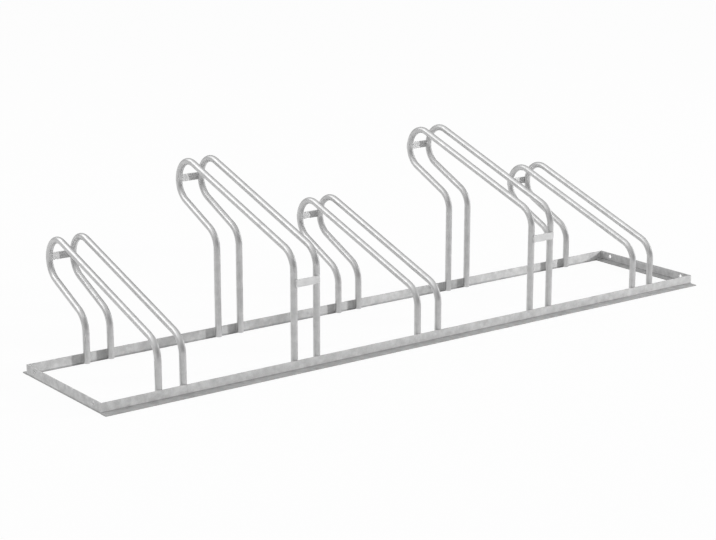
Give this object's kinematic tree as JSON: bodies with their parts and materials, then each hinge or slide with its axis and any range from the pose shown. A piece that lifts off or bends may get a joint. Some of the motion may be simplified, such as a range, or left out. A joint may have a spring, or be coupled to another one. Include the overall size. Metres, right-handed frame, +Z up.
{
  "type": "floor bike rack",
  "caption": "One-sided floor bike rack: bent tube hoops in pairs, low and high in turn, on a frame of angle rails, hot-dip galvanised.",
  "frame": {"origin": "middle of the rack's footprint, on the floor", "axes": "+X along the rack from the first bay to the last, bikes are pushed in from -Y towards +Y, +Z up"},
  "size_m": [2, 0.5892, 0.4718],
  "materials": {
    "rail": "hot-dip galvanised, satin, fine spangle",
    "tube": "hot-dip galvanised, satin",
    "strap": "hot-dip galvanised, satin"
  },
  "bodies": {
    "root": {"front_rail": "rail", "back_rail": "rail", "left_end_rail": "rail", "right_end_rail": "rail", "bay_1_left_hoop": "tube", "bay_1_right_hoop": "tube", "bay_1_nose_strap": "strap", "bay_2_left_hoop": "tube", "bay_2_right_hoop": "tube", "bay_2_nose_strap": "strap", "bay_2_wheel_rest": "strap", "bay_3_left_hoop": "tube", "bay_3_right_hoop": "tube", "bay_3_nose_strap": "strap", "bay_4_left_hoop": "tube", "bay_4_right_hoop": "tube", "bay_4_nose_strap": "strap", "bay_4_wheel_rest": "strap", "bay_5_left_hoop": "tube", "bay_5_right_hoop": "tube", "bay_5_nose_strap": "strap"}
  },
  "joints": []
}
